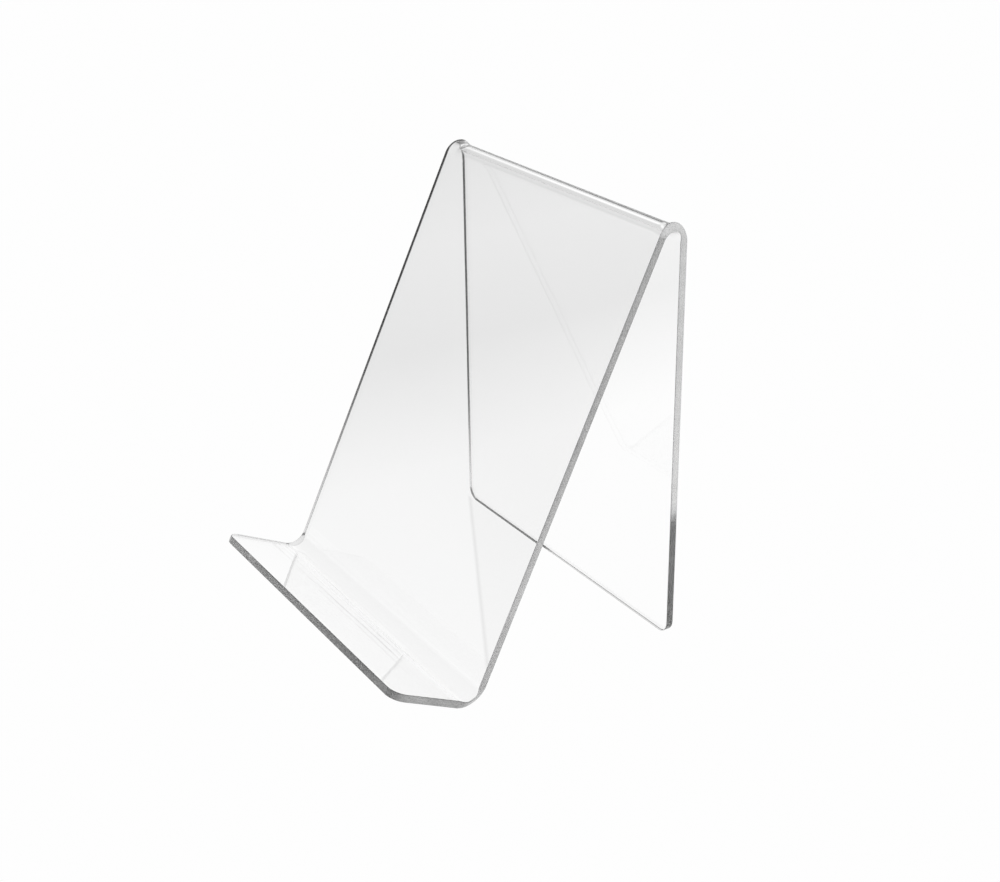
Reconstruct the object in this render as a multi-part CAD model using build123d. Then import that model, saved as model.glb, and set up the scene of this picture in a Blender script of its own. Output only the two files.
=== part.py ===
from build123d import *
from math import cos, pi, radians, sin
import os

# Book display stand: one clear acrylic sheet, heated along two lines and bent.
# Seen from the side the sheet runs up from the ledge's free edge, round the ledge bend,
# up the sloping panel, over the top bend and straight down the rear leg.
# Millimetres and degrees. +X is to the reader's right, -Y towards the reader, +Z up.
# The origin is on the table, under the middle of the stand.

# Driving dimensions
sheet_thickness = 3.0
sheet_width = 145.0
overall_height = 166.0        # table to the crown of the top bend, at mid width
panel_slope = 64.0            # panel above the table
ledge_depth = 35.5            # ledge's free edge to the panel's face, along the ledge
ledge_bend_radius = 5.0       # inside radius, between ledge and panel
top_bend_radius = 3.7         # inside radius, between panel and leg
corner_radius = 5.5           # cut corners of the ledge and of the leg

# At the ends of a bend the squeezed inner skin swells past the sheet's edge, the stretched
# outer skin draws in by as much, and a tight bend also curls outwards from its axis.
edge_swell = 1.1
top_bend_curl = 1.2
curl_reach = 6.0              # how far in from the edge the curl begins
ledge_bend_fullness = 0.7     # below 1 the swell is broad, above 1 it is gathered mid-bend
top_bend_fullness = 2.0
bend_steps = 8

# Directions in the side view, written as (y, z): up the panel, out of its back, down the leg
slope = radians(panel_slope)
up_panel = Vector(0, cos(slope), sin(slope))
out_of_back = Vector(0, sin(slope), -cos(slope))
down = Vector(0, 0, -1)

half_width = sheet_width / 2
ledge_outer_radius = ledge_bend_radius + sheet_thickness
top_outer_radius = top_bend_radius + sheet_thickness

# The ledge is square to the panel, so both flats end one inside radius from their corner.
ledge_flat = ledge_depth - ledge_bend_radius
top_axis_height = overall_height - top_outer_radius
axis_to_axis = ledge_outer_radius + top_bend_radius
panel_flat = (top_axis_height - ledge_outer_radius + axis_to_axis * cos(slope)) / sin(slope)

# Depth of the footprint, from the ledge's free edge to the back of the leg
front_reach = ledge_flat * sin(slope) + ledge_outer_radius * cos(slope)
rear_reach = axis_to_axis * sin(slope) + panel_flat * cos(slope) + top_outer_radius

ledge_bend_axis = Vector(0, (front_reach - rear_reach) / 2, ledge_outer_radius)
top_bend_axis = ledge_bend_axis + out_of_back * axis_to_axis + up_panel * panel_flat


def flat(start, run, length, rounded_start=False, rounded_end=False):
    """Flat stretch of sheet from start along run, its thickness on the display side."""
    outline = Pos(0, length / 2) * Rectangle(sheet_width, length)
    corners = outline.vertices().group_by(Axis.Y)
    if rounded_start:
        outline = fillet(corners[0], corner_radius)
    if rounded_end:
        outline = fillet(corners[-1], corner_radius)
    across = Vector(1, 0, 0)
    return extrude(Plane(start, across, across.cross(run)) * outline, sheet_thickness)


def bend_section(axis, angle, inner_radius, swell, curl):
    """Sheet cut square to itself, at one angle about a bend's axis."""
    outer_radius = inner_radius + sheet_thickness
    straight = half_width - curl_reach
    knee = half_width - curl_reach / 2
    inner_tip = (half_width + swell, inner_radius + curl)
    outer_tip = (half_width - swell, outer_radius + curl)
    half = [
        Line((0, inner_radius), (straight, inner_radius)),
        Bezier((straight, inner_radius), (knee, inner_radius), inner_tip),
        Line(inner_tip, outer_tip),
        Bezier(outer_tip, (knee, outer_radius), (straight, outer_radius)),
        Line((straight, outer_radius), (0, outer_radius)),
    ]
    whole = half + [mirror(edge, Plane.YZ) for edge in half]
    across = Vector(1, 0, 0)
    outwards = Vector(0, cos(angle), sin(angle))
    return Plane(axis, across, across.cross(outwards)) * make_face(whole)


def bend(axis, inner_radius, first_angle, last_angle, curl, fullness):
    """Bent stretch of sheet about axis, lofted through sections at even angles."""
    sections = []
    for step in range(bend_steps + 1):
        share = step / bend_steps
        angle = radians(first_angle + (last_angle - first_angle) * share)
        amount = sin(pi * share) ** fullness if 0 < step < bend_steps else 0.0
        sections.append(bend_section(axis, angle, inner_radius, edge_swell * amount, curl * amount))
    return loft(sections)


def bent_sheet():
    """The whole stand: ledge, ledge bend, panel, top bend and leg as one solid."""
    ledge_end = ledge_bend_axis - up_panel * ledge_outer_radius
    panel_start = ledge_bend_axis + out_of_back * ledge_outer_radius
    leg_start = top_bend_axis + Vector(0, top_bend_radius, 0)
    ledge = flat(ledge_end - out_of_back * ledge_flat, out_of_back, ledge_flat, rounded_start=True)
    ledge_bend = bend(
        ledge_bend_axis, ledge_bend_radius, panel_slope - 180, panel_slope - 90, 0.0, ledge_bend_fullness
    )
    panel = flat(panel_start, up_panel, panel_flat)
    top_bend = bend(
        top_bend_axis, top_bend_radius, panel_slope + 90, 0, top_bend_curl, top_bend_fullness
    )
    leg = flat(leg_start, down, top_axis_height, rounded_end=True)
    return ledge + ledge_bend + panel + top_bend + leg


os.makedirs("parts", exist_ok=True)
export_step(bent_sheet(), "parts/bent_acrylic_sheet.step")
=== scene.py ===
from math import cos, pi, radians, sin

import bmesh
import bpy
import numpy as np
from mathutils import Matrix, Vector


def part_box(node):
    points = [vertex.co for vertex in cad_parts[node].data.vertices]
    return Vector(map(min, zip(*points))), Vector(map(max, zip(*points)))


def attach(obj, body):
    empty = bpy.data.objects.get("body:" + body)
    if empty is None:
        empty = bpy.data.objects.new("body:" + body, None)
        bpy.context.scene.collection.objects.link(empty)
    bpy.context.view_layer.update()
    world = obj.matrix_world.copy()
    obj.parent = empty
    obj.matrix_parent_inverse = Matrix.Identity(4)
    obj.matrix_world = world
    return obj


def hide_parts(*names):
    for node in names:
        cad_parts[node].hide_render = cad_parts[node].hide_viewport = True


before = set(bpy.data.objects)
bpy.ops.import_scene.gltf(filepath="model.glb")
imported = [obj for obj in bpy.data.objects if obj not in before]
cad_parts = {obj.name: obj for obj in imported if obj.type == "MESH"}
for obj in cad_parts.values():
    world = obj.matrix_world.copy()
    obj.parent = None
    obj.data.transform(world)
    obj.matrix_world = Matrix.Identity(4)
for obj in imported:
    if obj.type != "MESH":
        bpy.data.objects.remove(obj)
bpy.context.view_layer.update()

# Book display stand of clear acrylic sheet, in metres, in the frame's own axes:
# +X to the reader's right, -Y towards the reader, +Z up from the table.

# ---------------------------------------------------------------- the sheet's shape, after the CAD part
MM = 0.001
NODE = "bent_acrylic_sheet"
THICKNESS = 3.0 * MM
WIDTH = 145.0 * MM
HEIGHT = 166.0 * MM
PANEL_SLOPE = radians(64)
LEDGE_DEPTH = 35.5 * MM
LEDGE_BEND_RADIUS = 5.0 * MM       # inside
TOP_BEND_RADIUS = 3.7 * MM         # inside
CORNER_RADIUS = 5.5 * MM

EDGE_SWELL = 1.1 * MM              # inner skin swells past the edge at a bend, outer skin draws in
TOP_BEND_CURL = 1.2 * MM           # ends of the top bend curl away from its axis
CURL_REACH = 6.0 * MM              # how far in from the edge the swell and the curl begin
EDGE_ROUND = 0.28 * MM             # polished arris all round the cut edge, which the CAD leaves out

HALF = THICKNESS / 2
MID_LEDGE_RADIUS = LEDGE_BEND_RADIUS + HALF
MID_TOP_RADIUS = TOP_BEND_RADIUS + HALF
LEDGE_ARC = pi / 2
TOP_ARC = PANEL_SLOPE + pi / 2

# Directions in the side view, as (y, z)
UP_PANEL = np.array([cos(PANEL_SLOPE), sin(PANEL_SLOPE)])
OUT_OF_BACK = np.array([sin(PANEL_SLOPE), -cos(PANEL_SLOPE)])
DOWN = np.array([0.0, -1.0])

ledge_flat = LEDGE_DEPTH - LEDGE_BEND_RADIUS
leg_flat = HEIGHT - TOP_BEND_RADIUS - THICKNESS
axis_gap = LEDGE_BEND_RADIUS + THICKNESS + TOP_BEND_RADIUS
panel_flat = (leg_flat - LEDGE_BEND_RADIUS - THICKNESS + axis_gap * cos(PANEL_SLOPE)) / sin(PANEL_SLOPE)
leg_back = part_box(NODE)[1][1]
leg_front = leg_back - THICKNESS
top_axis = np.array([leg_front - TOP_BEND_RADIUS, leg_flat])
ledge_axis = top_axis - OUT_OF_BACK * axis_gap - UP_PANEL * panel_flat


def stretches():
    """The sheet's middle surface from the ledge's free edge on, one stretch after another.

    A flat is given as its kind, length, start and heading; a bend as its kind, length, axis and
    the angle about the axis at which it starts.
    """
    ledge_start = ledge_axis - UP_PANEL * MID_LEDGE_RADIUS - OUT_OF_BACK * ledge_flat
    panel_start = ledge_axis + OUT_OF_BACK * MID_LEDGE_RADIUS
    leg_start = top_axis + np.array([MID_TOP_RADIUS, 0.0])
    return [
        ("flat", ledge_flat, ledge_start, OUT_OF_BACK),
        ("ledge_bend", LEDGE_ARC * MID_LEDGE_RADIUS, ledge_axis, PANEL_SLOPE - pi),
        ("flat", panel_flat, panel_start, UP_PANEL),
        ("top_bend", TOP_ARC * MID_TOP_RADIUS, top_axis, TOP_ARC),
        ("flat", leg_flat, leg_start, DOWN),
    ]


PATH = stretches()
STARTS = np.concatenate([[0.0], np.cumsum([stretch[1] for stretch in PATH])])
LENGTH = STARTS[-1]
LEDGE_BEND = 1                     # where the two bends stand in the path
TOP_BEND = 3

# How far past its ends a bend's swell and curl begin, and how much they gather at its middle
BEND_SPREAD = {LEDGE_BEND: 1.0 * MM, TOP_BEND: 0.3 * MM}
BEND_FULLNESS = {LEDGE_BEND: 0.9, TOP_BEND: 2.0}
# How strongly a bend shows its heating, and how wide the heated strip is either side of it
HEAT_MARKS = {LEDGE_BEND: 1.0, TOP_BEND: 0.15}
HEATED_MARGIN = 9.0 * MM


def bend_amount(along, bend):
    """How strongly a point this far along the sheet feels a bend: 0 away from it, 1 at its middle."""
    first, last = STARTS[bend], STARTS[bend + 1]
    spread = BEND_SPREAD[bend]
    share = (along - first + spread) / (last - first + 2 * spread)
    return sin(pi * share) ** BEND_FULLNESS[bend] if 0 < share < 1 else 0.0


def heat(along):
    """How marked the skin is by the heat of the nearest bend, fading to 0 either side of it."""
    marks = []
    for bend, strength in HEAT_MARKS.items():
        gap = max(STARTS[bend] - along, along - STARTS[bend + 1], 0.0)
        marks.append(strength * max(0.0, 1.0 - gap / HEATED_MARGIN))
    return max(marks)


def run_of_edge(across, along):
    """Distance round the outline from the middle of the ledge's free edge, alike on both sides."""
    return along + abs(across) if along < LENGTH / 2 else along - abs(across) + WIDTH


def place(across, along, depth):
    """Where a point of the flat sheet goes when the sheet is bent.

    Across is along X, along runs on the middle surface, and depth is towards the display side.
    """
    reach = max(0.0, abs(across) - (WIDTH / 2 - CURL_REACH)) / CURL_REACH
    at_ledge_bend = bend_amount(along, LEDGE_BEND) * reach ** 2
    at_top_bend = bend_amount(along, TOP_BEND) * reach ** 2
    side = 1.0 if across > 0 else -1.0
    swell = EDGE_SWELL * (at_ledge_bend - at_top_bend) * depth / HALF
    depth = depth + TOP_BEND_CURL * at_top_bend
    index = int(min(max(np.searchsorted(STARTS, along, side="right") - 1, 0), len(PATH) - 1))
    kind, _, start, heading = PATH[index]
    run = along - STARTS[index]
    if kind == "flat":
        outwards = np.array([-heading[1], heading[0]])
        y, z = start + heading * run + outwards * depth
    elif kind == "ledge_bend":
        angle = heading + run / MID_LEDGE_RADIUS
        y, z = start + np.array([cos(angle), sin(angle)]) * (MID_LEDGE_RADIUS - depth)
    else:
        angle = heading - run / MID_TOP_RADIUS
        y, z = start + np.array([cos(angle), sin(angle)]) * (MID_TOP_RADIUS + depth)
    return np.array([across + side * swell, y, z])


def bent_normal(across, along, depth, flat_normal):
    """Carries a normal of the flat sheet through the bending."""
    step = 0.002 * MM
    axes = np.eye(3) * step
    point = np.array([across, along, depth])
    slopes = [(place(*(point + axis)) - place(*(point - axis))) / (2 * step) for axis in axes]
    normal = np.linalg.solve(np.array(slopes), np.array(flat_normal))
    return normal / np.linalg.norm(normal)


# ---------------------------------------------------------------- the sheet's mesh
CORNER_ANGLES = [radians(angle) for angle in (0, 9, 18, 28, 39, 50, 62, 75, 90)]
CORNER_CENTRE = WIDTH / 2 - CORNER_RADIUS            # how far across the centre of a cut corner lies
ROWS_PER_STRETCH = (4, 44, 20, 64, 18)               # ledge, ledge bend, panel, top bend and leg
ROWS_BESIDE_BEND = (0.3, 0.7, 1.2, 2.0, 3.5)         # in mm, on the flats either side of a bend
CLEAR_OF_CORNER = 1.2 * CORNER_RADIUS                # straight rows keep this far from the sheet's ends
MIDDLE_COLUMNS = 12                                  # from the sheet's middle to where the curl begins
CURL_COLUMNS = 14                                    # from there to the edge
ARRIS_TURNS = [radians(angle) for angle in (22.5, 45, 67.5, 90)]
EDGE_RINGS = (0.7, 0.0, -0.7)                        # in mm from the middle of the cut edge
FACE, CUT_EDGE, FOOT_EDGE = 0, 1, 2                  # material slots, in the order they are filled


def row_stations():
    """Rows across the sheet as (half width, distance along, outline normal there)."""
    rows = []
    for angle in CORNER_ANGLES:
        along = CORNER_RADIUS * (1 - cos(angle))
        rows.append((CORNER_CENTRE + CORNER_RADIUS * sin(angle), along, (sin(angle), -cos(angle))))
    stations = []
    for index, steps in enumerate(ROWS_PER_STRETCH):
        stations += list(np.linspace(STARTS[index], STARTS[index + 1], steps, endpoint=False))
    for bend in (LEDGE_BEND, TOP_BEND):
        stations += [STARTS[bend] - gap * MM for gap in ROWS_BESIDE_BEND]
        stations += [STARTS[bend + 1] + gap * MM for gap in ROWS_BESIDE_BEND]
    for along in sorted(stations):
        if CLEAR_OF_CORNER < along < LENGTH - CLEAR_OF_CORNER:
            rows.append((WIDTH / 2, along, (1.0, 0.0)))
    for half, along, (nx, ns) in reversed(rows[: len(CORNER_ANGLES)]):
        rows.append((half, LENGTH - along, (nx, -ns)))
    return rows


def column_shares():
    """Columns as shares of the half width, from -1 to 1, close together where the ends curl."""
    curl_share = CURL_REACH / (WIDTH / 2)
    inner = np.linspace(0, 1 - curl_share, MIDDLE_COLUMNS)
    outer = 1 - curl_share * np.linspace(1, 0, CURL_COLUMNS + 1)[1:]
    right = list(inner) + list(outer)
    return [-share for share in reversed(right[1:])] + right


def outline_of(rows, shares):
    """The sheet's outline, once round, as (across, along, normal across, normal along)."""
    outline = [(share * CORNER_CENTRE, 0.0, 0.0, -1.0) for share in shares]
    outline += [(half, along, nx, ns) for half, along, (nx, ns) in rows[1:]]
    outline += [(share * CORNER_CENTRE, LENGTH, 0.0, 1.0) for share in reversed(shares[:-1])]
    outline += [(-half, along, -nx, ns) for half, along, (nx, ns) in rows[-2:0:-1]]
    return outline


class SheetPoints:
    """Points of the bent sheet, each with its normal and the values that the materials use."""

    def __init__(self):
        self.places = []
        self.normals = []
        self.heats = []
        self.runs = []
        self.offsets = []

    def add(self, across, along, depth, flat_normal):
        """Adds one point, given on the flat sheet, and returns its number."""
        self.places.append(tuple(place(across, along, depth)))
        self.normals.append(tuple(bent_normal(across, along, depth, flat_normal)))
        self.heats.append(heat(along))
        self.runs.append(run_of_edge(across, along))
        self.offsets.append(abs(depth) / HALF)
        return len(self.places) - 1

    def add_face(self, rows, shares, side):
        """Grid of a face, up to where the arris begins: side is 1 for display and -1 for back."""
        grid = []
        for half, along, (nx, ns) in rows:
            inset = half - EDGE_ROUND * nx
            station = along - EDGE_ROUND * ns
            grid.append([self.add(share * inset, station, side * HALF, (0, 0, side)) for share in shares])
        return grid

    def add_ring(self, outline, inset, depth, turn):
        """Ring round the sheet; turn takes the normal from the face's (0) to the edge's (90 degrees)."""
        ring = []
        for across, along, nx, ns in outline:
            normal = (nx * sin(turn), ns * sin(turn), cos(turn) if depth > 0 else -cos(turn))
            ring.append(self.add(across - inset * nx, along - inset * ns, depth, normal))
        return ring

    def add_arris(self, outline, side, turns):
        """Rings over one of the two arrises of the cut edge."""
        rings = []
        for turn in turns:
            depth = HALF - EDGE_ROUND * (1 - cos(turn))
            rings.append(self.add_ring(outline, EDGE_ROUND * (1 - sin(turn)), side * depth, turn))
        return rings


def rim_of(grid):
    """The outermost points of a face's grid, in the outline's order."""
    right = [row[-1] for row in grid[1:]]
    left = [row[0] for row in grid[-2:0:-1]]
    return list(grid[0]) + right + list(reversed(grid[-1][:-1])) + left


def grid_quads(grid, flip):
    """Quads between the rows and columns of a face's grid."""
    quads = []
    for upper, lower in zip(grid, grid[1:]):
        for j in range(len(upper) - 1):
            quad = [upper[j], upper[j + 1], lower[j + 1], lower[j]]
            quads.append(quad[::-1] if flip else quad)
    return quads


def ring_quads(rings, outline):
    """Quads between the rings of the cut edge, and the material slot of each."""
    quads, slots = [], []
    for first, second in zip(rings, rings[1:]):
        for k in range(len(outline)):
            after = (k + 1) % len(outline)
            quads.append([first[k], second[k], second[after], first[after]])
            at_foot = min(outline[k][1], outline[after][1]) > LENGTH - 2 * EDGE_ROUND
            slots.append(FOOT_EDGE if at_foot else CUT_EDGE)
    return quads, slots


def build_sheet():
    """One closed mesh: display face, back face and a rounded cut edge between them."""
    rows = row_stations()
    shares = column_shares()
    outline = outline_of(rows, shares)
    points = SheetPoints()
    display = points.add_face(rows, shares, 1)
    back = points.add_face(rows, shares, -1)
    rings = [rim_of(display)] + points.add_arris(outline, 1, ARRIS_TURNS)
    rings += [points.add_ring(outline, 0.0, depth * MM, pi / 2) for depth in EDGE_RINGS]
    rings += points.add_arris(outline, -1, ARRIS_TURNS[::-1]) + [rim_of(back)]

    faces = grid_quads(display, flip=False) + grid_quads(back, flip=True)
    slots = [FACE] * len(faces)
    edge_faces, edge_slots = ring_quads(rings, outline)
    faces += edge_faces
    slots += edge_slots

    mesh = bpy.data.meshes.new("bent_sheet")
    mesh.from_pydata(points.places, [], faces)
    mesh.polygons.foreach_set("material_index", slots)
    mesh.polygons.foreach_set("use_smooth", [True] * len(faces))
    mesh.update()
    mesh.attributes.new("heated", "FLOAT", "POINT").data.foreach_set("value", points.heats)
    mesh.attributes.new("edge_run", "FLOAT", "POINT").data.foreach_set("value", points.runs)
    mesh.attributes.new("off_middle", "FLOAT", "POINT").data.foreach_set("value", points.offsets)
    mesh.normals_split_custom_set_from_vertices(points.normals)
    sheet = bpy.data.objects.new("bent_sheet", mesh)
    bpy.context.collection.objects.link(sheet)
    return sheet


# ---------------------------------------------------------------- node helpers
# Reflections are counted in whole numbers, so these part one count from the next
BETWEEN_NONE_AND_ONE = 0.5
BETWEEN_ONE_AND_TWO = 1.5


def feed(links, value, socket):
    """Wires a node's output to a socket, or sets the socket to a plain value."""
    if isinstance(value, bpy.types.NodeSocket):
        links.new(value, socket)
    else:
        socket.default_value = value


def calculated(nodes, links, operation, first, second):
    """One step of arithmetic on two numbers."""
    node = nodes.new("ShaderNodeMath")
    node.operation = operation
    feed(links, first, node.inputs[0])
    feed(links, second, node.inputs[1])
    return node.outputs["Value"]


def reach_along(nodes, links, vector, direction):
    """How far a vector reaches along a direction."""
    node = nodes.new("ShaderNodeVectorMath")
    node.operation = "DOT_PRODUCT"
    node.inputs[1].default_value = direction
    links.new(vector, node.inputs[0])
    return node.outputs["Value"]


def coordinate(nodes, links, vector, axis):
    """One coordinate of a vector."""
    split = nodes.new("ShaderNodeSeparateXYZ")
    links.new(vector, split.inputs["Vector"])
    return split.outputs[axis]


def carried(nodes, links, value, source, target=(0.0, 1.0), soft=False):
    """Carries a value from one range to another, held at the ends; soft makes it an S curve."""
    node = nodes.new("ShaderNodeMapRange")
    if soft:
        node.interpolation_type = "SMOOTHSTEP"
    node.inputs["From Min"].default_value = source[0]
    node.inputs["From Max"].default_value = source[1]
    node.inputs["To Min"].default_value = target[0]
    node.inputs["To Max"].default_value = target[1]
    links.new(value, node.inputs["Value"])
    return node.outputs["Result"]


def mixed(nodes, links, share, first, second):
    """The first number where the share is 0, the second where it is 1."""
    node = nodes.new("ShaderNodeMix")
    feed(links, share, node.inputs["Factor"])
    feed(links, first, node.inputs["A"])
    feed(links, second, node.inputs["B"])
    return node.outputs["Result"]


def blended(nodes, links, share, first, second, how="MIX"):
    """Blends the second colour over the first by the share; how names Blender's blend mode."""
    node = nodes.new("ShaderNodeMix")
    node.data_type = "RGBA"
    node.blend_type = how
    feed(links, share, node.inputs["Factor"])
    feed(links, first, node.inputs["A"])
    feed(links, second, node.inputs["B"])
    return node.outputs["Result"]


def grey(brightness):
    """A grey as a colour."""
    return (brightness, brightness, brightness, 1)


def grey_ramp(nodes, links, value, first, last, stops):
    """Greys along a value that runs from first to last, through stops of (value, brightness)."""
    ramp = nodes.new("ShaderNodeValToRGB")
    elements = ramp.color_ramp.elements
    while len(elements) < len(stops):
        elements.new(0.5)          # anywhere will do, as the loop below moves it
    for element, (place_of_stop, brightness) in zip(elements, stops):
        element.position = (place_of_stop - first) / (last - first)
        element.color = grey(brightness)
    links.new(carried(nodes, links, value, (first, last)), ramp.inputs["Fac"])
    return ramp.outputs["Color"]


def reflections(nodes):
    """How often the light path has been reflected on the stand or inside it."""
    return nodes.new("ShaderNodeLightPath").outputs["Glossy Depth"]


# ---------------------------------------------------------------- materials
ACRYLIC_IOR = 1.491
CLEAR = 0.99                       # share of light that a clean surface lets through
NOISE_MIDDLE = (0.3, 0.7)          # where most of a noise's values lie

# Scales are features to the metre along X, Y and Z
RIPPLE_SCALE = (45, 45, 45)
RIPPLE_DEPTH = 0.4 * MM
RIPPLE_STRENGTH = 0.05
STREAK_SCALE = (6, 420, 420)       # drawn out along the bends
STREAK_DEPTH = 0.12 * MM

EDGE_CLEARNESS = 0.70              # share of light a cut edge lets through, going in and out
EDGE_ROUGHNESS = 0.2
EDGE_SPREAD = 0.05                 # how much both of them vary, either way
EDGE_FLANKS = (0.3, 0.9)           # the edge darkens between these shares of the half thickness
CUTTER_LINES = 1500                # to the metre of edge
CLEARER_STRETCHES = 160            # to the metre of edge
GRAIN_DEPTH = 0.03 * MM
GRAIN_STRENGTH = 0.5

SPECK_SCALE = (900, 900, 900)
FOOT_SHADE_ENDS = (-15.0 * MM, -6.0 * MM)   # along X, between the left with painted shade and the clear right
PAINTED_SHADE_GREYS = (0.05, 0.25)          # darkest and lightest specks of the painted shade on the left
LED_GREYS = (0.3, 0.7)             # and of the painted shade that light led along inside the sheet finds
# For the left part with painted shade, for the clear right part, and for light led along inside the
# sheet, which gets painted shade all along
FOOT_TRANSMISSION = (0.3, 1.0, 0.6)
FOOT_ROUGHNESS = (0.5, 0.1, 0.5)
FOOT_GRAIN = (0.5, 0.1, 0.5)


def new_material(name):
    """A material with an empty node tree: returns it, its nodes and its links."""
    material = bpy.data.materials.new(name)
    material.use_nodes = True
    tree = material.node_tree
    tree.nodes.clear()
    return material, tree.nodes, tree.links


def clear_shader(nodes, links):
    """Colourless acrylic wired to the material's output: returns the shader node."""
    output = nodes.new("ShaderNodeOutputMaterial")
    shader = nodes.new("ShaderNodeBsdfPrincipled")
    shader.inputs["Transmission Weight"].default_value = 1.0
    shader.inputs["IOR"].default_value = ACRYLIC_IOR
    links.new(shader.outputs["BSDF"], output.inputs["Surface"])
    return shader


def mesh_value(nodes, name):
    """A value that the mesh carries at its points."""
    node = nodes.new("ShaderNodeAttribute")
    node.attribute_name = name
    return node.outputs["Fac"]


def place_on_sheet(nodes):
    """Position on the sheet object, in metres."""
    return nodes.new("ShaderNodeTexCoord").outputs["Object"]


def stretched_noise(nodes, links, scale, detail):
    """Noise with its own number of features to the metre along X, Y and Z."""
    stretch = nodes.new("ShaderNodeMapping")
    stretch.inputs["Scale"].default_value = scale
    noise = nodes.new("ShaderNodeTexNoise")
    noise.inputs["Scale"].default_value = 1.0
    noise.inputs["Detail"].default_value = detail
    links.new(place_on_sheet(nodes), stretch.inputs["Vector"])
    links.new(stretch.outputs["Vector"], noise.inputs["Vector"])
    return noise.outputs["Fac"]


def lines_across_edge(nodes, links, per_metre, detail):
    """Noise that changes along the cut edge and runs straight across its thickness."""
    noise = nodes.new("ShaderNodeTexNoise")
    noise.noise_dimensions = "1D"
    noise.inputs["Scale"].default_value = per_metre
    noise.inputs["Detail"].default_value = detail
    links.new(mesh_value(nodes, "edge_run"), noise.inputs["W"])
    return noise.outputs["Fac"]


def bump(nodes, links, height, depth, strength, below=None):
    """Bump of this depth in metres, on top of another bump if one is given."""
    node = nodes.new("ShaderNodeBump")
    node.inputs["Distance"].default_value = depth
    feed(links, strength, node.inputs["Strength"])
    links.new(height, node.inputs["Height"])
    if below is not None:
        links.new(below, node.inputs["Normal"])
    return node.outputs["Normal"]


def clear_acrylic_face():
    """Polished sheet face: a slow ripple all over, and heat streaks that run along the bends."""
    material, nodes, links = new_material("clear_acrylic_face")
    shader = clear_shader(nodes, links)
    shader.inputs["Base Color"].default_value = grey(CLEAR)
    shader.inputs["Roughness"].default_value = 0.0
    ripple = stretched_noise(nodes, links, RIPPLE_SCALE, detail=1.0)
    streaks = stretched_noise(nodes, links, STREAK_SCALE, detail=2.0)
    rippled = bump(nodes, links, ripple, RIPPLE_DEPTH, RIPPLE_STRENGTH)
    streaked = bump(nodes, links, streaks, STREAK_DEPTH, mesh_value(nodes, "heated"), below=rippled)
    links.new(streaked, shader.inputs["Normal"])
    return material


def clear_acrylic_cut_edge():
    """Satin cut edge: it holds back part of the light, and cutter lines run across its thickness."""
    material, nodes, links = new_material("clear_acrylic_cut_edge")
    shader = clear_shader(nodes, links)
    cutter = lines_across_edge(nodes, links, CUTTER_LINES, detail=2.0)
    uneven = lines_across_edge(nodes, links, CLEARER_STRETCHES, detail=3.0)
    clearness = (EDGE_CLEARNESS - EDGE_SPREAD, EDGE_CLEARNESS + EDGE_SPREAD)
    along_edge = carried(nodes, links, uneven, NOISE_MIDDLE, clearness)
    off_middle = mesh_value(nodes, "off_middle")
    across_edge = carried(nodes, links, off_middle, EDGE_FLANKS, (EDGE_SPREAD, -EDGE_SPREAD), soft=True)
    roughness = (EDGE_ROUGHNESS - EDGE_SPREAD, EDGE_ROUGHNESS + EDGE_SPREAD)
    links.new(calculated(nodes, links, "ADD", across_edge, along_edge), shader.inputs["Base Color"])
    links.new(carried(nodes, links, cutter, NOISE_MIDDLE, roughness), shader.inputs["Roughness"])
    links.new(bump(nodes, links, cutter, GRAIN_DEPTH, GRAIN_STRENGTH), shader.inputs["Normal"])
    return material


def foot_edge_painted_shade():
    """The edge the leg stands on, darkened in part by painted shade.

    Seen directly it has painted shade on the left and is clear on the right. Light led along
    inside the sheet finds it dim all along, as painted shade.
    """
    material, nodes, links = new_material("foot_edge_painted_shade")
    shader = clear_shader(nodes, links)
    specks = stretched_noise(nodes, links, SPECK_SCALE, detail=3.0)
    across = coordinate(nodes, links, place_on_sheet(nodes), "X")
    # painted shade: 0 on the darkened left of the foot edge, 1 on the clear right
    undimmed_share = carried(nodes, links, across, FOOT_SHADE_ENDS, soft=True)
    # painted shade all along the foot edge for light already reflected inside the sheet
    led_inside = calculated(nodes, links, "GREATER_THAN", reflections(nodes), BETWEEN_NONE_AND_ONE)

    def finish(dimmed, undimmed, led):
        return mixed(nodes, links, led_inside, mixed(nodes, links, undimmed_share, dimmed, undimmed), led)

    dimmed_grey = carried(nodes, links, specks, NOISE_MIDDLE, PAINTED_SHADE_GREYS)
    led_grey = carried(nodes, links, specks, NOISE_MIDDLE, LED_GREYS)
    links.new(finish(dimmed_grey, CLEAR, led_grey), shader.inputs["Base Color"])
    links.new(finish(*FOOT_TRANSMISSION), shader.inputs["Transmission Weight"])
    links.new(finish(*FOOT_ROUGHNESS), shader.inputs["Roughness"])
    links.new(bump(nodes, links, specks, GRAIN_DEPTH, finish(*FOOT_GRAIN)), shader.inputs["Normal"])
    return material


# ---------------------------------------------------------------- camera
CAMERA_AZIMUTH = radians(57.97)    # from straight in front of the stand round towards +X
CAMERA_ELEVATION = radians(24.60)
CAMERA_ROLL = radians(-0.73)
CAMERA_DISTANCE = 0.6187
STAND_MIDDLE = Vector((0, 0, 0.08))   # to within a few millimetres
AIM_RIGHT = 0.0249                 # the camera aims to the right of the stand's middle
AIM_DOWN = 0.0083                  # and below it
SENSOR_WIDTH = 36.0                # in mm, as the lens is
LENS = 57.68


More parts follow.
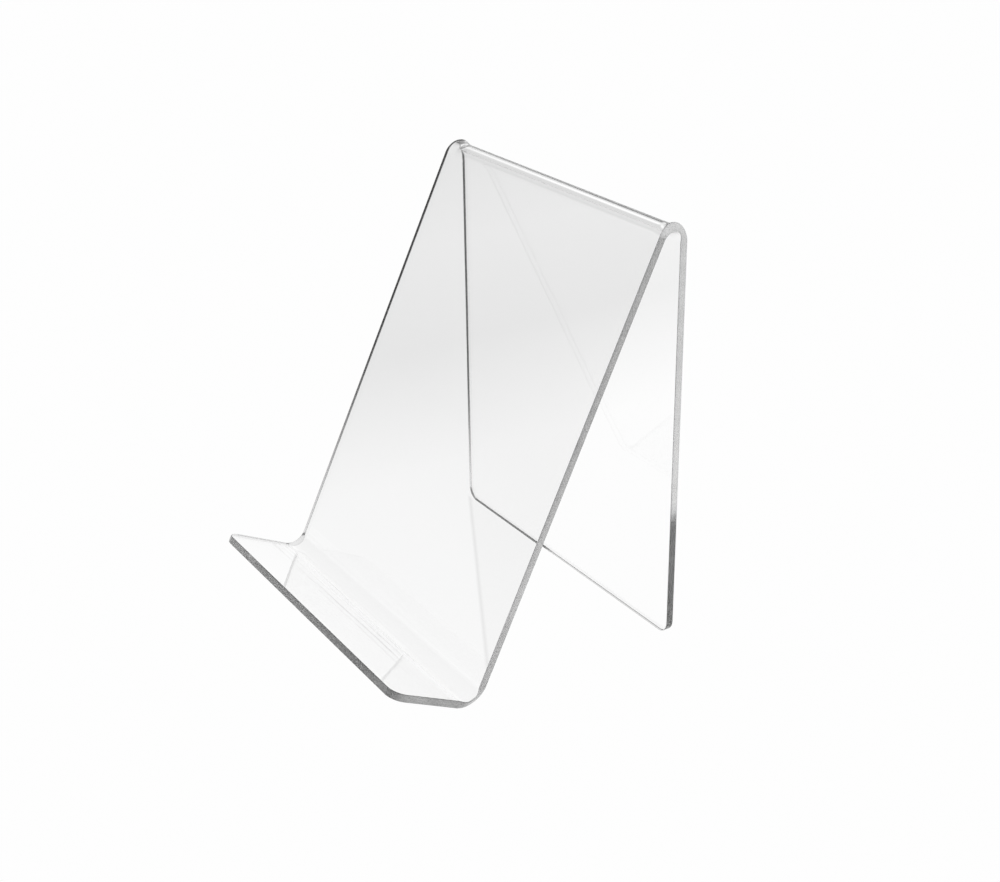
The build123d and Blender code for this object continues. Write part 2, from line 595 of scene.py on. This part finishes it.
def place_camera():
    """The viewing angle: from the reader's right and above, with the stand upright in the picture."""
    level = cos(CAMERA_ELEVATION)
    towards = Vector((sin(CAMERA_AZIMUTH) * level, -cos(CAMERA_AZIMUTH) * level, sin(CAMERA_ELEVATION)))
    right = Vector((cos(CAMERA_AZIMUTH), sin(CAMERA_AZIMUTH), 0))
    up = towards.cross(right)
    right_rolled = right * cos(CAMERA_ROLL) + up * sin(CAMERA_ROLL)
    up_rolled = up * cos(CAMERA_ROLL) - right * sin(CAMERA_ROLL)
    aim = STAND_MIDDLE + right_rolled * AIM_RIGHT - up_rolled * AIM_DOWN
    turned = Matrix((right_rolled, up_rolled, towards)).transposed().to_4x4()
    camera = bpy.data.objects.new("camera", bpy.data.cameras.new("camera"))
    bpy.context.collection.objects.link(camera)
    camera.matrix_world = Matrix.Translation(aim + towards * CAMERA_DISTANCE) @ turned
    camera.data.sensor_width = SENSOR_WIDTH
    camera.data.lens = LENS
    camera.data.clip_start = 0.01
    bpy.context.scene.camera = camera


# ---------------------------------------------------------------- studio
# The table and the room give all the light, and the table's light is painted into it. What is seen
# straight through the sheet is bright. What is reflected on the sheet, or inside it, is a window behind
# on the left and a darker right side, and a single reflection also meets a painted dark reflection on
# the table behind the leg. Where the camera looks past the stand it sees bare white.
BARE_WHITE = 0.99
BRIGHT_ROOM = 0.86                 # the room seen through the sheet
BOUNCES = 64

# Azimuths are counted from +X round towards +Y
WINDOW_AZIMUTH = radians(142)
WINDOW_ELEVATION = radians(8.5)
# Brightness round the window, as (cosine of the angle from it, brightness)
ROOM_BY_WINDOW = [
    (-1.0, 0.02), (-0.3, 0.05), (0.1, 0.19), (0.57, 0.35), (0.8, 0.42), (0.89, 0.72),
    (0.974, 0.72), (0.989, 0.88), (0.9994, 1.15),
]
# Brightness above the horizon, as (sine of the elevation, brightness); the brighter of the two shows
ROOM_BY_HEIGHT = [(0.0, 0.65), (0.05, 0.55), (0.12, 0.28), (0.25, 0.15)]

FLOOR_REACH = 12.0
FLOOR_DROP = 0.2 * MM              # keeps the table's face off the leg's foot
TABLE_SHINE = 0.17                 # painted sheen: how far the table's light shifts along X when seen edge on
# Painted light on the table: its brightness along X, as (x, brightness)
TABLE_LEFT = [(-1.2, 0.78), (-0.55, 0.92), (-0.38, 0.88), (-0.24, 0.99)]
TABLE_RIGHT_SEEN_THROUGH = [(0.24, 0.99), (0.38, 0.88), (0.55, 0.92), (1.2, 0.78)]
TABLE_RIGHT_REFLECTED = [(0.0, 0.99), (0.1, 0.72), (0.2, 0.04)]
# Painted dark reflection on the table behind the leg, seen after a single reflection, as (y, how dark)
PAINTED_DARK_REFLECTION = [(0.08, 0.0), (0.14, 1.0), (0.4, 1.0), (0.6, 0.0)]

SHADOW_AZIMUTH = radians(-28.7)    # the way the leg's shadow falls: to the right, towards the reader
SHADOW_LINE = 0.86                 # light left in the line from a cut edge
SHADOW_BAND = 0.972                # and between the two lines
SHADOW_CORE = 0.3 * MM
SHADOW_SOFT = 1.1 * MM
SHADOW_GONE = -0.045               # the shadow has faded away at this y
SHADOW_FULL = -0.01                # and is full from here to the leg


def where_reflected(nodes, links, seen_through, reflected):
    """One colour for what is seen straight through the sheet, another for what is reflected."""
    return blended(nodes, links, reflections(nodes), seen_through, reflected)


def white_to_camera(nodes, links, kind, lit, output):
    """Bare white where the camera looks straight at it, the lit colour where the stand shows it."""
    path = nodes.new("ShaderNodeLightPath")
    seen = nodes.new(kind)
    room = nodes.new(kind)
    mix = nodes.new("ShaderNodeMixShader")
    seen.inputs["Color"].default_value = grey(1)
    seen.inputs["Strength"].default_value = BARE_WHITE
    links.new(lit, room.inputs["Color"])
    links.new(path.outputs["Is Camera Ray"], mix.inputs["Fac"])
    links.new(room.outputs[0], mix.inputs[1])
    links.new(seen.outputs[0], mix.inputs[2])
    links.new(mix.outputs["Shader"], output.inputs["Surface"])


def leg_shadow(nodes, links, position):
    """Light left on the table in front of the leg: a pale band with a darker line from each cut edge."""
    sideways = np.array([-sin(SHADOW_AZIMUTH), cos(SHADOW_AZIMUTH)])
    left, right = [float(sideways @ (side * WIDTH / 2, leg_front)) for side in (-1, 1)]
    across = reach_along(nodes, links, position, (*sideways, 0))
    band = grey_ramp(nodes, links, across, first=-0.1, last=0.2, stops=[
        (left - SHADOW_SOFT, 1.0),
        (left - SHADOW_CORE, SHADOW_LINE),
        (left + SHADOW_CORE, SHADOW_LINE),
        (left + SHADOW_SOFT, SHADOW_BAND),
        (right - SHADOW_SOFT, SHADOW_BAND),
        (right - SHADOW_CORE, SHADOW_LINE),
        (right + SHADOW_CORE, SHADOW_LINE),
        (right + SHADOW_SOFT, 1.0),
    ])
    y = coordinate(nodes, links, position, "Y")
    unshaded = grey_ramp(nodes, links, y, first=-0.1, last=0.1, stops=[
        (SHADOW_GONE, 1.0),
        (SHADOW_FULL, 0.0),
        (leg_front - SHADOW_CORE, 0.0),
        (leg_front + SHADOW_CORE, 1.0),
    ])
    return blended(nodes, links, unshaded, band, grey(1))


def white_table():
    """Table material with painted light: bright on both sides seen through the sheet, dark on the right
    in reflections.
    """
    material, nodes, links = new_material("white_table")
    where = nodes.new("ShaderNodeNewGeometry")
    position = where.outputs["Position"]
    shine = nodes.new("ShaderNodeVectorMath")
    shine.operation = "MULTIPLY_ADD"
    shine.inputs[1].default_value = (-TABLE_SHINE, 0, 0)
    links.new(where.outputs["Incoming"], shine.inputs[0])
    links.new(position, shine.inputs[2])
    x = coordinate(nodes, links, shine.outputs["Vector"], "X")
    y = coordinate(nodes, links, position, "Y")

    stops = TABLE_LEFT + TABLE_RIGHT_SEEN_THROUGH
    bright = grey_ramp(nodes, links, x, first=-1.2, last=1.2, stops=stops)
    shadow = leg_shadow(nodes, links, position)
    seen_through = blended(nodes, links, 1.0, bright, shadow, how="MULTIPLY")

    stops = TABLE_LEFT + TABLE_RIGHT_REFLECTED
    glossy = grey_ramp(nodes, links, x, first=-1.2, last=0.3, stops=stops)
    # painted dark reflection: the table behind the leg is darkened where a single reflection meets it
    dark_reflection = grey_ramp(nodes, links, y, first=0.0, last=1.0, stops=PAINTED_DARK_REFLECTION)
    at_most_once = calculated(nodes, links, "LESS_THAN", reflections(nodes), BETWEEN_ONE_AND_TWO)
    darkening = calculated(nodes, links, "MULTIPLY", at_most_once, dark_reflection)
    reflected = blended(nodes, links, darkening, glossy, grey(0))

    lit = where_reflected(nodes, links, seen_through, reflected)
    white_to_camera(nodes, links, "ShaderNodeEmission", lit, nodes.new("ShaderNodeOutputMaterial"))
    return material


def build_floor():
    """Plain white table under the stand."""
    mesh = bpy.data.meshes.new("floor")
    bm = bmesh.new()
    bmesh.ops.create_grid(bm, x_segments=1, y_segments=1, size=FLOOR_REACH)
    bm.to_mesh(mesh)
    bm.free()
    mesh.materials.append(white_table())
    floor = bpy.data.objects.new("floor", mesh)
    floor.location.z = -FLOOR_DROP
    bpy.context.collection.objects.link(floor)


def build_world():
    """The room: even when seen through the sheet, brightest at the window in reflections."""
    world = bpy.data.worlds.new("studio")
    bpy.context.scene.world = world
    world.use_nodes = True
    nodes, links = world.node_tree.nodes, world.node_tree.links
    nodes.clear()
    direction = nodes.new("ShaderNodeTexCoord").outputs["Generated"]
    level = cos(WINDOW_ELEVATION)
    window = (cos(WINDOW_AZIMUTH) * level, sin(WINDOW_AZIMUTH) * level, sin(WINDOW_ELEVATION))
    towards_window = reach_along(nodes, links, direction, window)
    height = coordinate(nodes, links, direction, "Z")
    by_window = grey_ramp(nodes, links, towards_window, first=-1.0, last=1.0, stops=ROOM_BY_WINDOW)
    by_height = grey_ramp(nodes, links, height, first=0.0, last=0.3, stops=ROOM_BY_HEIGHT)
    reflected = blended(nodes, links, 1.0, by_window, by_height, how="LIGHTEN")
    lit = where_reflected(nodes, links, grey(BRIGHT_ROOM), reflected)
    white_to_camera(nodes, links, "ShaderNodeBackground", lit, nodes.new("ShaderNodeOutputWorld"))


def set_picture():
    """Plain colour handling, and enough bounces for light led along inside the sheet."""
    scene = bpy.context.scene
    scene.view_settings.view_transform = "Standard"
    scene.cycles.max_bounces = BOUNCES
    scene.cycles.transmission_bounces = BOUNCES
    scene.cycles.glossy_bounces = BOUNCES


sheet = build_sheet()
sheet.data.materials.append(clear_acrylic_face())
sheet.data.materials.append(clear_acrylic_cut_edge())
sheet.data.materials.append(foot_edge_painted_shade())
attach(sheet, "root")
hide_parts(NODE)

build_floor()
build_world()
place_camera()
set_picture()
